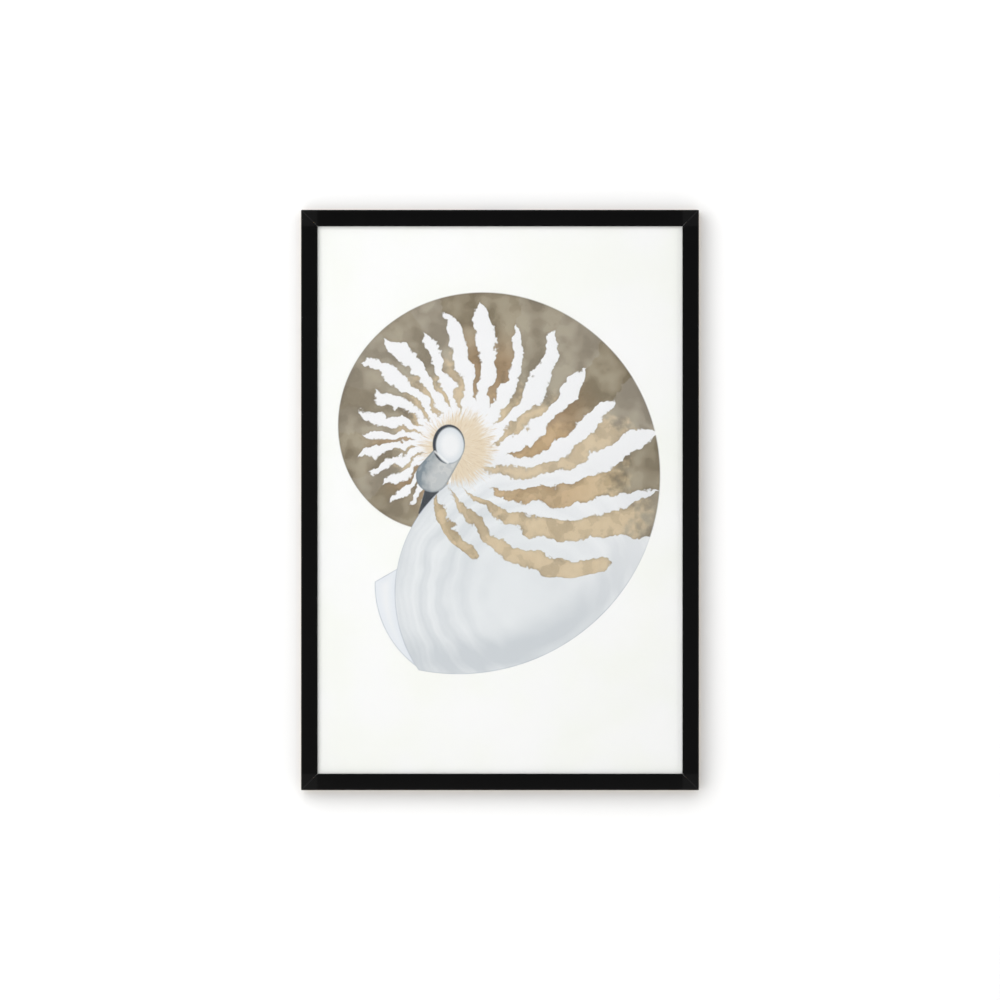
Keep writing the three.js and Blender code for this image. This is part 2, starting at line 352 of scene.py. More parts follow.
# %% [markdown]
# ## The printed study: where the shell lies
# The sheet carries a watercolour study of a nautilus, drawn here from the rule that the animal
# grows by: at each turn the shell is the same shape, a fixed ratio larger, so its outline is a
# logarithmic spiral. A brush would follow it freehand. Here the page's own coordinates are
# turned into shell coordinates instead, and every wash is a formula in those.
# `turn` is the angle grown so far, counted clockwise from the left of the eye, and `share` is
# how far a place lies from the eye, 0, to the outer edge, 1. The last quarter turn grows more
# slowly, as in a full-grown shell. A round arc is the edge of the opening, and tells the
# living chamber from the earlier whorl that it lies over. The drawing's unit and its shift
# leave room on the sheet all round the shell, as on a plate in a natural history.

# %% Page and shell coordinates
PAGE_UNIT = 11.3
PAGE_SHIFT = -13.0 * MM
EYE = (-0.46, 0.64)
FIRST_RADIUS = 1.37
GROWTH = 0.205
EASE_FROM = 2.6
EASE = 0.278
MARGIN_CENTRE = (0.55, -1.15)
MARGIN_RADIUS = 1.705

study, sheet_place = new_finish("printed_paper")
page = sheet_place.node(
    "ShaderNodeMapping",
    inputs={0: sheet_place,
            "Location": (-PAGE_UNIT * (centre.x + PAGE_SHIFT), 0, -PAGE_UNIT * centre.z),
            "Scale": (PAGE_UNIT, 0, PAGE_UNIT)},
)
page_x, _, page_z = page.parts()


def from_point(place, point):
    return place.vector("SUBTRACT", (point[0], 0, point[1]))


def print_progress():
    print("study nodes so far:", len(study.node_tree.nodes))


from_eye = from_point(page, EYE)
eye_x, _, eye_z = from_eye.parts()
radius = from_eye.length()
bearing = eye_z.maths("ARCTAN2", eye_z, eye_x)
chamber_side = MARGIN_RADIUS - from_point(page, MARGIN_CENTRE).length()
early = (bearing < -math.pi / 2) * (chamber_side < 0)
turn = math.pi - bearing - early * (2 * math.pi)
eased = (turn - EASE_FROM).most(0) ** 2 * EASE
edge_radius = ((turn - eased) * GROWTH).exponential() * FIRST_RADIUS
share = radius / edge_radius
rim = edge_radius - radius
print_progress()

# %% [markdown]
# ## The flame stripes
# A nautilus has brown stripes that start at the eye, lean back as they run out and merge into
# a brown band along the outer edge. The stripe count is a curve in `turn`, so that stripes
# widen as the shell grows. Each gap between two stripes gets its own length by chance, and
# three sizes of noise shake the edges: a slow wander, a wobble, and a fine tear like that of
# paint on rough paper. They are lengths on the page, so they are divided by a stripe's width.

# %% Stripes
STRIPES = 4.55
STRIPES_WIDEN = 0.15
LEAN = 0.25
LEAN_GROWS = 0.2
GAP_SHARE = 0.56
SHAKE = (0.30, 0.13, 0.045)

wander = page.noise(2.6, 1.0) - 0.5
wobble = page.noise(9.0, 2.0) - 0.5
tear = page.noise(24.0, 1.0) - 0.5
lean = turn.most(0) * LEAN_GROWS + LEAN
grown = turn - lean * (1 - share).most(0) ** 1.25
pitch = (radius / (STRIPES - grown * (2 * STRIPES_WIDEN))).most(0.10)
shake = wander * SHAKE[0] + wobble * SHAKE[1] + tear * SHAKE[2]
count = (STRIPES - grown * STRIPES_WIDEN) * grown + shake / pitch
gap_luck = count.floor().chance(0.3)
stripe_luck = (count + 0.5).floor().chance(7.3)
from_gap = abs(count - count.floor() - 0.5) * 2
late = turn.ramp(2.6, 3.3)
gap_end = gap_luck * 0.20 + 0.76 + late * 0.25
stripe_start = stripe_luck * 0.12 + 0.20 - late * 0.05
open_share = gap_luck * 0.2 + turn.ramp(1.4, 0.3) * 0.12 + (GAP_SHARE - 0.1)
gap = (1 - (share / gap_end) ** 9.0) * open_share
gap = gap + share.ramp(stripe_start - 0.05, stripe_start + 0.08, 0.7, 0.0)
last = grown + share * 0.9 + (stripe_luck - 0.5) * 0.2
gap = gap + last.ramp(4.40, 4.62, 0.0, 1.5) - last.ramp(3.5, 4.2, 0.0, 0.14)
into_stripe = (from_gap - gap) * pitch * 0.5
print_progress()

# %% [markdown]
# ## Paper, living chamber and far lip
# Under the stripes the shell is a pale, cool white. The living chamber is washed a little
# bluer and carries lighter growth bands with finer lines between. They run side by side with
# the edge of its opening, so they are sines of the distance from that edge. A grey shade turns
# the chamber's outer side away from the light. Behind the edge shows the far lip of the
# opening, inside a thin pencil line.
# Each wash goes over the last one through a mask, which `choose` does.

# %% Chamber
BRUSH_EDGE = 0.007
LINE_WIDTH = 0.008
LIP_CENTRE = (-0.154, -1.05)
LIP_RADIUS = 1.246
LIP_TOP = (-1.39, -1.009)
LIP_SLOPE = 0.58


def inside(distance, softness=BRUSH_EDGE):
    """1 where the distance into a shape is positive, with a soft edge."""
    return distance.ramp(-softness, softness)


def line_at(distance, width=LINE_WIDTH):
    """1 on the edge of a shape."""
    return abs(distance).ramp(0.3 * width, width, 1.0, 0.0)


paper_cloud = page.noise(0.9, 3.0)
paper = paper_cloud.ramp(0.35, 0.65).choose(tone(253, 253, 253), tone(251, 252, 248))
lip_line = (page_x - LIP_TOP[0]) * LIP_SLOPE + LIP_TOP[1] - page_z
lip_side = LIP_RADIUS - from_point(page, LIP_CENTRE).length()
lip_side = lip_side.least(lip_line).least(0 - chamber_side)
lip_wash = lip_side.ramp(0.0, 0.16).choose(tone(232, 236, 242), tone(243, 244, 246))
picture = inside(lip_side).choose(paper, lip_wash)

in_chamber = turn.ramp(2.9, 4.3)
growth = (chamber_side * 24 + wander * 6.0).sine() * chamber_side.ramp(1.5, 0.25)
growth = growth * chamber_side.ramp(0.05, 0.3)
fine_growth = (chamber_side * 85 + wander * 16.0 + wobble * 5.0).sine() * chamber_side.ramp(1.3, 0.2)
shade = share.ramp(0.80, 0.95) * share.ramp(0.95, 1.0, 1.0, 0.6)
shade = shade * turn.ramp(2.9, 3.7) * turn.ramp(5.3, 4.4)
wash = (paper_cloud - 0.5) * 0.9 + growth * 0.19 + fine_growth * 0.05 + shade * 0.75 + 0.32
wash = wash + chamber_side.ramp(0.0, 0.14, 0.25, 0.0) + page.noise(5.0, 3.0) * 0.12
chamber = wash.least(1).most(0).choose(tone(243, 245, 247), tone(207, 212, 217))
shell_white = in_chamber.choose(tone(245, 245, 247), chamber)
picture = inside(rim).choose(picture, shell_white)
print_progress()

# %% [markdown]
# ## Brown washes
# The stripes are laid in thin paint: sandy near the eye, olive towards the outer edge, sandy
# again in the youngest stripes, and warmer in a few that chance picks. Three things make flat
# colour read as watercolour. Pigment gathers at the edge of a wash as it dries, which is an
# exponential of the distance into it. A second glaze over part of the first dries with an edge
# of its own, which is a noise cut hard at a level with a thin dark line along the cut. And the
# pigment's grains settle in the paper's hollows, a very fine noise.

# %% Brown paint
PIGMENT_RIM = 0.018
GLAZE_EDGE = 0.530
POOL_EDGE = 0.553

paint_depth = into_stripe.least(rim)
painted = inside(paint_depth, 0.010) * (stripe_luck * 0.1 + 0.9)
glaze = page.noise(4.2, 3.0)
pool = page.noise(2.1, 2.0)
sandy = (glaze * 1.4 - 0.3).least(1).most(0).choose(tone(222, 202, 168), tone(196, 171, 130))
olive = pool.ramp(0.40, 0.60).choose(tone(168, 157, 135), tone(138, 126, 103))
outer = share + wobble * 0.35 + (stripe_luck - 0.5) * 0.26 - turn.ramp(2.6, 3.3) * 0.42
brown = outer.ramp(0.38, 0.54).choose(sandy, olive)
warm = stripe_luck.ramp(0.70, 0.90) * share.ramp(0.85, 0.55)
brown = (warm * 0.45).choose(brown, tone(186, 146, 102))
dark = (0 - paint_depth / PIGMENT_RIM).exponential() * 0.42
dark = dark + glaze.ramp(0.525, 0.540) * 0.12 + pool.ramp(0.55, 0.562) * 0.12
dried = abs(glaze - GLAZE_EDGE).ramp(0.0, 0.012, 1.0, 0.0)
dried = dried + abs(pool - POOL_EDGE).ramp(0.0, 0.008, 1.0, 0.0)
dark = dark + dried * 0.10 + share.ramp(0.80, 1.0) * 0.14
dark = dark + (page.noise(95.0, 2.0) - 0.5) * 0.16 + (page.noise(14.0, 3.0) - 0.5) * 0.16
brown = dark.least(1).most(0).choose(brown, tone(92, 78, 52))
picture = painted.choose(picture, brown)
print_progress()

# %% [markdown]
# ## The eye of the shell
# Fine sandy strokes fan out round the eye. Their noise is read along the direction from the
# eye and hardly along the radius, so it comes out as rays. Over them lie the polished knob
# of the eye in its dark ring, the grey lobe where the opening's edge joins it, and the black
# hollow under that. Each is a round or a tapered capsule, kept as a distance into the shape.

# %% Strokes round the eye
FRINGE = 0.39
FRINGE_RIGHT = 0.17

direction = from_eye.vector("NORMALIZE")
ray_x, _, ray_z = direction.scaled(13.0).parts()
rays = ray_x.joined(radius * 4.0, ray_z).noise(1.6, 3.0, 0.7)
fine_rays = ray_x.joined(radius * 2.0, ray_z).noise(4.5, 2.0, 0.6)
fringe = (eye_x / radius).ramp(-0.6, 0.8) * FRINGE_RIGHT + FRINGE - radius
fringe = fringe + (rays - 0.5) * 0.42 + (fine_rays - 0.5) * 0.22
stroke = fine_rays.ramp(0.36, 0.62).choose(tone(240, 229, 210), tone(206, 178, 136))
stroke = rays.ramp(0.40, 0.75).choose(tone(230, 212, 183), stroke)
picture = (fringe.ramp(-0.02, 0.15) * 0.9).choose(picture, stroke)

# %% Knob, lobe and hollow
KNOB = (-0.488, 0.690)
KNOB_HALVES = (0.200, 0.245)
KNOB_FACE = (-0.474, 0.678)
KNOB_FACE_HALVES = (0.172, 0.222)
GLOW_TOP = (-0.66, 0.60)
GLOW_END = (-0.50, 0.46)
GLOW_RADII = (0.010, 0.012)
LOBE_TOP = (-0.49, 0.58)
LOBE_END = (-0.69, 0.30)
LOBE_RADII = (0.165, 0.205)
HOLLOW_TOP = (-0.695, 0.13)
HOLLOW_END = (-0.845, -0.16)
HOLLOW_RADII = (0.088, 0.018)


def round_shape(middle, half_x, half_z):
    """The distance into an upright oval."""
    across = from_point(page, middle).vector("MULTIPLY", (1 / half_x, 0, 1 / half_z))
    return (1 - across.length()) * half_x


def capsule(top, end, top_radius, end_radius):
    """The distance into a rounded bar that tapers from one radius to the other."""
    along = Vector((end[0] - top[0], 0, end[1] - top[1]))
    arm = from_point(page, top)
    unit = tuple(along / along.length_squared)
    place = arm.vector("DOT_PRODUCT", unit, "Value").most(0).least(1)
    line = place.joined(0.0, place).vector("MULTIPLY", tuple(along))
    away = arm.vector("SUBTRACT", line).length()
    return place * (end_radius - top_radius) + top_radius - away


hollow = capsule(HOLLOW_TOP, HOLLOW_END, *HOLLOW_RADII).least(0 - chamber_side)
hollow_tone = page.noise(11.0, 2.0).choose(tone(44, 49, 58), tone(70, 75, 82))
picture = inside(hollow).choose(picture, hollow_tone)

lobe = capsule(LOBE_TOP, LOBE_END, *LOBE_RADII)
turned = from_point(page, LOBE_END).vector("DOT_PRODUCT", (0.95, 0, -0.31), "Value")
lobe_light = (turned + (wobble + wander) * 0.30 + lobe * 0.5).ramp(-0.14, 0.16)
lobe_tone = lobe_light.choose(tone(128, 140, 149), tone(204, 206, 206))
lobe_tone = (wobble - wander).ramp(0.02, 0.04, 0.0, 0.45).choose(lobe_tone, tone(178, 184, 188))
lobe_tone = lobe.ramp(0.0, 0.030, 0.65, 0.0).choose(lobe_tone, tone(104, 116, 126))
picture = inside(lobe).choose(picture, lobe_tone)

knob = round_shape(KNOB, *KNOB_HALVES)
ring_side = from_point(page, KNOB).vector("DOT_PRODUCT", (0.8, 0, -0.6), "Value")
ring_light = (ring_side + wobble * 0.12).ramp(-0.05, 0.19)
ring_tone = ring_light.choose(tone(46, 54, 66), tone(120, 132, 142))
picture = inside(knob).choose(picture, ring_tone)
knob_face = round_shape(KNOB_FACE, *KNOB_FACE_HALVES)
knob_tone = knob_face.ramp(0.0, 0.10).choose(tone(222, 227, 232), tone(242, 243, 245))
picture = inside(knob_face, 0.012).choose(picture, knob_tone)
knob_glow = capsule(GLOW_TOP, GLOW_END, *GLOW_RADII)
picture = (inside(knob_glow, 0.014) * 0.85).choose(picture, tone(246, 247, 248))
print_progress()

# %% [markdown]
# ## Pencil lines and the finished sheet
# Last come the thin grey lines along the opening's edge, the chamber's outer side and the far
# lip. The sheet is matt, slightly rough paper: a low bump at the scale of its fibres, and a
# roughness that is a little lower where paint has filled them. Only the front is printed.

# %% Pencil lines and paper
PRINT_DEPTH = 0.05 * MM
FIBRE_RELIEF = 0.02 * MM

low_left = (eye_x < 0) * (eye_z < -0.45)
pencil = line_at(chamber_side) * low_left * inside(rim)
pencil = pencil.most(line_at(rim) * turn.ramp(3.3, 3.9) * inside(chamber_side + 0.02))
pencil = pencil.most(line_at(lip_side) * inside(0 - chamber_side))
pencil = pencil * (page.noise(7.0, 2.0) * 0.9 + 0.15)
picture = pencil.least(1).choose(picture, tone(168, 176, 190))

fibres = sheet_place.noise(2600.0, 3.0)
tooth = sheet_place.noise(900.0, 2.0)
picture = (tooth * 0.05).choose(picture, tone(225, 224, 220))
depth_in = sheet_place.parts()[1] - sheet_low.y
picture = (depth_in < PRINT_DEPTH).choose(tone(250, 249, 245), picture)
close_finish(
    study, picture, painted * -0.08 + 0.88 + (fibres - 0.5) * 0.1,
    height=fibres * 0.5 + tooth * 0.5, relief=FIBRE_RELIEF, Specular_IOR_Level=0.25,
)
print("study nodes:", len(study.node_tree.nodes))

# %% [markdown]
# ## Growing a piece with a geometry tree
# Most of the pieces follow a rule: a section run along a line, an outline given a thickness,
# one shape put in many places. Each rule is a geometry tree with a named input for every size.
# `new_tree` starts one, `end_tree` closes it, and `grow` runs it on an empty object and keeps
# the plain mesh. `add_piece` puts a mesh in the scene and ties it to the frame.

# %% Trees and pieces
MERGE = 0.001 * MM


def new_tree(name, sizes):
    tree = bpy.data.node_groups.new(name, "GeometryNodeTree")
    tree.interface.new_socket("Geometry", in_out="OUTPUT", socket_type="NodeSocketGeometry")
    kinds = {"Geometry": "Geometry", **dict.fromkeys(sizes, "Float"), "Finish": "Material"}
    for label, kind in kinds.items():
        tree.interface.new_socket(label, in_out="INPUT", socket_type="NodeSocket" + kind)
    start = tree.nodes.new("NodeGroupInput")
    return tree, {out.name: Wire(tree, out) for out in start.outputs if out.name}


def end_tree(shape, finish):
    """Makes instances real, gives them their finish and ends the tree."""
    shape = shape.node("GeometryNodeRealizeInstances", inputs={"Geometry": shape})
    inputs = {"Geometry": shape, "Material": finish}
    shape = shape.node("GeometryNodeSetMaterial", inputs=inputs)
    shape.node("NodeGroupOutput", inputs={"Geometry": shape})


def grow(name, tree, sizes, finish, start=None, bevel=0.0):
    """The mesh that a tree makes of a start mesh, or of nothing."""
    host = in_scene(name, start or bpy.data.meshes.new(name))
    modifier = host.modifiers.new(name, "NODES")
    modifier.node_group = tree
    values = {**sizes, "Finish": finish}
    for item in tree.interface.items_tree:
        if item.name in values:
            modifier[item.identifier] = values[item.name]
    if bevel:
        rounding = host.modifiers.new("rounding", "BEVEL")
        rounding.width = bevel
        rounding.segments = 2
        rounding.limit_method = "ANGLE"
    graph = bpy.context.evaluated_depsgraph_get()
    made = bpy.data.meshes.new_from_object(host.evaluated_get(graph))
    bpy.data.objects.remove(host)
    made.name = name
    return made


def add_piece(name, mesh, slot, *replaced, smooth_angle=35):
    """A piece at the origin with its place in its mesh, closed and facing out."""
    solid = bmesh.new()
    solid.from_mesh(mesh)
    bmesh.ops.remove_doubles(solid, verts=solid.verts, dist=MERGE)
    bmesh.ops.recalc_face_normals(solid, faces=solid.faces)
    open_edges = sum(1 for edge in solid.edges if not edge.is_manifold)
    solid.to_mesh(mesh)
    solid.free()
    mesh.shade_smooth()
    mesh.set_sharp_from_angle(angle=math.radians(smooth_angle))
    piece = in_scene(name, mesh)
    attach(piece, "root")
    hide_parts(*replaced)
    print(name, "faces:", len(mesh.polygons), "open edges:", open_edges)
    return piece


def outline(tree, corners, radii):
    """A closed curve through corners, each one rounded to its own radius."""
    start = Wire(tree)
    index = start.node("GeometryNodeInputIndex")

    def pick(kind, choices):
        switch = tree.nodes.new("GeometryNodeIndexSwitch")
        switch.data_type = kind
        while len(switch.index_switch_items) < len(choices):
            switch.index_switch_items.new()
        tree.links.new(index.socket, switch.inputs[0])
        for place, choice in enumerate(choices):
            if isinstance(choice, Wire):
                tree.links.new(choice.socket, switch.inputs[place + 1])
            else:
                switch.inputs[place + 1].default_value = choice
        return Wire(tree, switch.outputs[0])

    places = [start.node("ShaderNodeCombineXYZ", inputs={0: x, 1: y}) for x, y in corners]
    line = start.node("GeometryNodeMeshLine", inputs={"Count": len(corners)})
    moved = {"Geometry": line, "Position": pick("VECTOR", places)}
    line = start.node("GeometryNodeSetPosition", inputs=moved)
    curve = start.node("GeometryNodeMeshToCurve", inputs={"Mesh": line})
    closed = {"Geometry": curve, "Cyclic": True}
    curve = start.node("GeometryNodeSetSplineCyclic", inputs=closed)
    rounded = {"Curve": curve, "Radius": pick("FLOAT", radii), "Count": 4, "Limit Radius": True}
    return start.node("GeometryNodeFilletCurve", {"mode": "POLY"}, rounded)


# %% [markdown]
# ## Black paint over wood
# The rails are pale wood, painted black on the face and the outer side. The back and the
# rabbet stay bare, because nobody paints what the wall and the board hide.
# The tree of the rails stores each point's place in its own rail as the attribute `grain`:
# inward, backward and along. So one finish serves upright and level rails alike, and the
# wood's pores run the right way. The paint is satin, hardly reflects, and shows the pores as
# fine scratches along the rail. Its colour is a shade lighter on the outer arris, partly from
# wear and partly as a painted highlight, and a little lighter along the sight edge. At the
# joints a painted highlight runs along each mitre and a painted sheen lightens the corners.

# %% Rail finish
PORE_RELIEF = 0.04 * MM
PAINT_END = 0.35 * MM


def rail_finish(name, half):
    material, _ = new_finish(name)
    start = Wire(material.node_tree)
    grain = start.node("ShaderNodeAttribute", {"attribute_name": "grain"}, output="Vector")
    inward, back, along = grain.parts()
    pores = grain.vector("MULTIPLY", (4200, 4200, 160)).noise(1.0, 3.0, 0.6)
    figure = grain.vector("MULTIPLY", (420, 420, 13)).noise(1.0, 3.0, 0.55)
    smear = grain.noise(45.0, 3.0)
    # Lighter on the outer arris: partly wear, partly a painted highlight.
    edge = (inward + (smear - 0.5) * (3 * MM)).ramp(0.4 * MM, 2.6 * MM, 1.0, 0.0)
    inner = inward.ramp(face_width - 1.4 * MM, face_width - 0.5 * MM)
    # Painted sheen: the square where two rails meet is made lighter.
    from_corner = half - abs(along)
    corner = from_corner.ramp(face_width - 0.6 * MM, face_width + 0.2 * MM, 1.0, 0.0)
    # Painted highlight: a light line along the mitre, as if its chamfer caught the light.
    mitre = (from_corner - inward).ramp(0.5 * MM, 1.3 * MM, 1.0, 0.0)
    # All the lightening of the black paint: painted highlights and sheen, wear on the arris, smear
    # and pores.
    lift = edge * 0.30 + inner * 0.08 + corner * 0.24 + mitre * 0.9
    lift = lift + (smear - 0.5) * 0.14 + (pores - 0.5) * 0.10
    paint = lift.least(1).most(0).choose((0.0016, 0.0016, 0.0017), (0.014, 0.014, 0.014))
    bare = (back + (smear - 0.5) * (0.8 * MM)).ramp(rail_depth - PAINT_END, rail_depth)
    rabbet = (inward > body_width - PAINT_END) * (back > lip_thickness + PAINT_END)
    bare = bare.most(rabbet)
    wood = figure.ramp(0.34, 0.68).choose(tone(214, 188, 146), tone(176, 142, 98))
    wood = (pores.ramp(0.5, 0.7) * 0.35).choose(wood, tone(140, 104, 66))
    wood = (smear.ramp(0.5, 0.8) * 0.25).choose(wood, tone(150, 122, 88))
    return close_finish(
        material, bare.choose(paint, wood),
        bare * 0.22 + 0.52 + (pores - 0.5) * 0.16 + (smear - 0.5) * 0.1,
        height=pores * 0.7 + figure * 0.3, relief=PORE_RELIEF, Specular_IOR_Level=0.10,
    )


paints = {"level": rail_finish("black_paint_level", outer_width / 2),
          "upright": rail_finish("black_paint_upright", outer_height / 2)}
print("rail finish nodes:", len(paints["level"].node_tree.nodes))

# %% [markdown]
# ## Rails
# A real rail is cut from a long moulding and sawn off at 45 degrees at both ends. The tree
# does the same: it runs the L section along a line of five rings, then moves each ring by how
# far inward each point lies, so that the ends slope. The last ring also gives way a little on
# the face and the outer side, which leaves the fine open V that shows where two rails meet.

# %% Rail tree
RAIL_SIZES = ["Half length", "Face width", "Depth", "Lip thickness", "Lip overlap", "Arris",
              "Joint gap", "Joint bevel"]
rail_tree, put = new_tree("rail", RAIL_SIZES)
body = put["Face width"] - put["Lip overlap"]
fine = put["Arris"] * 0.4
section = outline(
    rail_tree,
    [(0.0, 0.0), (put["Face width"], 0.0), (put["Face width"], put["Lip thickness"]),
     (body, put["Lip thickness"]), (body, put["Depth"]), (0.0, put["Depth"])],
    [put["Arris"], put["Arris"], fine, fine, fine, fine],
)
start = Wire(rail_tree)
run = start.node("GeometryNodeCurvePrimitiveLine", inputs={"Start": (0, 0, -1), "End": (0, 0, 1)})
run = start.node("GeometryNodeResampleCurve", inputs={"Curve": run, "Count": 5})
swept = {"Curve": run, "Profile Curve": section, "Fill Caps": True}
moulding = start.node("GeometryNodeCurveToMesh", inputs=swept)
inward, back, ring = start.node("GeometryNodeInputPosition").parts()
last_ring = abs(ring) > 0.75
direction_along = ((ring > 0) * 2 - 1) * (abs(ring) > 0.25)
from_middle = put["Half length"] - put["Joint gap"] - inward
from_middle = from_middle - (1 - last_ring) * put["Joint bevel"]
face_gives = (1 - back / (put["Arris"] * 4)).most(0) * last_ring * put["Joint bevel"]
side_gives = (1 - inward / (put["Arris"] * 4)).most(0) * last_ring * put["Joint bevel"]
place = (inward + side_gives).joined(back + face_gives, from_middle * direction_along)
moulding = start.node("GeometryNodeSetPosition", inputs={"Geometry": moulding, "Position": place})
stored = {"Geometry": moulding, "Name": "grain",
          "Value": start.node("GeometryNodeInputPosition")}
moulding = start.node("GeometryNodeStoreNamedAttribute", {"data_type": "FLOAT_VECTOR"}, stored)
end_tree(moulding, put["Finish"])

# %% The four rails
JOINT_GAP = 0.2 * MM
JOINT_BEVEL = 0.4 * MM
ARRIS = 0.8 * MM

for quarter, side in enumerate(["top", "right", "bottom", "left"]):
    level = quarter % 2 == 0
    half = (outer_width if level else outer_height) / 2
    out = (outer_height if level else outer_width) / 2
    sizes = dict(zip(RAIL_SIZES, [half, face_width, rail_depth, lip_thickness, lip_overlap,
                                  ARRIS, JOINT_GAP, JOINT_BEVEL]))
    mesh = grow("rail_" + side, rail_tree, sizes, paints["level" if level else "upright"])
    mesh.transform(
        Matrix.Translation(centre)
        @ Matrix.Rotation(math.radians(90 * quarter), 4, "Y")
        @ Matrix.Translation((0, 0, out))
        @ Matrix.Rotation(math.radians(90), 4, "Y")
    )
    add_piece(side + "_rail", mesh, "black_rail", "rail_" + side, smooth_angle=25)

# %% [markdown]
# ## The three sheets
# Glazing, print and backing board are flat plates of different thickness and edge. Each one
# starts as an outline with rounded corners, is filled and extruded by a short tree, and has
# its arrises bevelled. The board's face is dulled hardboard: short brown fibres pressed into
# a mottled sheet, rougher where they lift.

# %% Sheet tree and finishes
SHEET_SIZES = ["Width", "Height", "Thickness", "Corner"]
sheet_tree, put = new_tree("sheet", SHEET_SIZES)
right = put["Width"] / 2
top = put["Height"] / 2
flat = outline(sheet_tree, [(0 - right, 0 - top), (right, 0 - top), (right, top), (0 - right, top)],
               [put["Corner"]] * 4)


def filled(curve):
    return curve.node("GeometryNodeFillCurve", {"mode": "NGONS"}, {"Curve": curve})


def together(*shapes):
    tree = shapes[0].tree
    join = tree.nodes.new("GeometryNodeJoinGeometry")
    for shape in shapes:
        tree.links.new(shape.socket, join.inputs[0])
    return Wire(tree, join.outputs[0])


def thicken(fill, thickness):
    """A closed plate from a flat mesh, from 0 up to a thickness along +Z."""
    up = {"Mesh": fill, "Offset": (0, 0, 1), "Offset Scale": thickness, "Individual": False}
    risen = fill.node("GeometryNodeExtrudeMesh", inputs=up)
    merged = {"Geometry": together(fill, risen), "Distance": MERGE}
    return fill.node("GeometryNodeMergeByDistance", inputs=merged)


end_tree(thicken(filled(flat), put["Thickness"]), put["Finish"])

glass, glass_place = new_finish("clear_glazing")
haze = glass_place.noise(6.0, 2.0)
haze_tone = haze.choose((0.985, 0.995, 0.99), (1.0, 1.0, 1.0))
close_finish(
    glass, haze_tone, 0.02, height=haze, relief=0.02 * MM,
    Transmission_Weight=1.0, IOR=1.3,
)

hardboard, board_place = new_finish("hardboard")
fibres = board_place.vector("MULTIPLY", (1500, 900, 1500)).noise(1.0, 4.0, 0.7)
strands = board_place.vector("MULTIPLY", (260, 260, 900)).noise(1.0, 3.0, 0.6)
mottle = board_place.noise(16.0, 3.0)
board_tone = (fibres * 0.6 + strands * 0.4).ramp(0.36, 0.64)
board_tone = board_tone.choose(tone(118, 84, 54), tone(172, 132, 92))
board_tone = (mottle.ramp(0.4, 0.7) * 0.3).choose(board_tone, tone(104, 74, 50))
close_finish(
    hardboard, board_tone, fibres * 0.25 + 0.66,
    height=fibres * 0.6 + strands * 0.4, relief=0.08 * MM, Specular_IOR_Level=0.3,
)

# %% The sheets
def add_sheet(name, node, slot, finish, corner, bevel):
    low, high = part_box(node)
    middle = (low + high) / 2
    sizes = dict(zip(SHEET_SIZES, [high.x - low.x, high.z - low.z, high.y - low.y, corner]))
    mesh = grow(name, sheet_tree, sizes, finish, bevel=bevel)
    mesh.transform(
        Matrix.Translation((middle.x, high.y, middle.z)) @ Matrix.Rotation(math.radians(90), 4, "X")
    )
    return add_piece(name, mesh, slot, node)


pane = add_sheet("glazing", "glazing_sheet", "glazing", glass, 0.6 * MM, 0.25 * MM)
pane.visible_shadow = False
printed = add_sheet("print", "print_sheet", "print", study, 0.3 * MM, 0.04 * MM)
add_sheet("hardboard_back", "backing_board", "backing_board", hardboard, 1.0 * MM, 0.4 * MM)

# %% [markdown]
# ## A flat map for the print
# The print is the one piece whose front has to stay sharp when its colours are turned into an
# image. A map made by itself would give the plain back as much room as the picture. This one
# spreads the front over nine tenths of the image and squeezes the back and the edges into a
# strip beside it, a little aslant so that no face is left without width.

# %% Print map
FRONT_SPAN = (0.90, 0.98)
STRIP_START = 0.93
STRIP_SPAN = 0.03
STRIP_HEIGHT = 0.94
MAP_MARGIN = 0.01

picture_map = printed.data.uv_layers.new(name="OFBake")
sheet_size = sheet_high - sheet_low
for face in printed.data.polygons:
    for corner in face.loop_indices:
        vertex = printed.data.vertices[printed.data.loops[corner].vertex_index]
        x, y, z = ((vertex.co - sheet_low)[axis] / sheet_size[axis] for axis in range(3))
        place = (MAP_MARGIN + x * FRONT_SPAN[0], MAP_MARGIN + z * FRONT_SPAN[1])
        if face.normal.y > -0.5:
            aslant = MAP_MARGIN + z * STRIP_HEIGHT + y * STRIP_SPAN
            place = (STRIP_START + (x + y) * STRIP_SPAN, aslant)
        picture_map.data[corner].uv = place
print("mapped corners:", len(picture_map.data))

# %% [markdown]
# ## Small metal parts on the back
# From behind one sees how the picture is put together. Ten flat steel points are shot into
# the rabbet and hold the board. Eight V-shaped wedges are pressed across the mitres until they
# are as good as flush. Both are one outline, thickened and put in many places, so one tree
# serves each kind: it sets a copy on every vertex of a start mesh and turns it by the vertex's
# `turn` attribute.
# Local X runs to the right and local Z towards the wall.

# %% Copies on the back
def spots(name, places):
    """Vertices for copies. A place is x, height and the turn about the wall's direction."""
    mesh = bpy.data.meshes.new(name)
    mesh.from_pydata([(x, -z, 0) for x, z, _ in places], [], [])
    turns = mesh.attributes.new("turn", "FLOAT", "POINT")
    turns.data.foreach_set("value", [turn for _, _, turn in places])
    return mesh


def copies(tree, put, shape):
    """Ends a tree with a copy of the shape on every vertex of the start mesh."""
    start = Wire(tree)
    named = {"Name": "turn"}
    turn = start.node("GeometryNodeInputNamedAttribute", {"data_type": "FLOAT"}, named)
    euler = start.node("ShaderNodeCombineXYZ", inputs={2: turn})
    rotation = start.node("FunctionNodeEulerToRotation", inputs={0: euler})
    inputs = {"Points": put["Geometry"], "Instance": shape, "Rotation": rotation}
    end_tree(start.node("GeometryNodeInstanceOnPoints", inputs=inputs), put["Finish"])


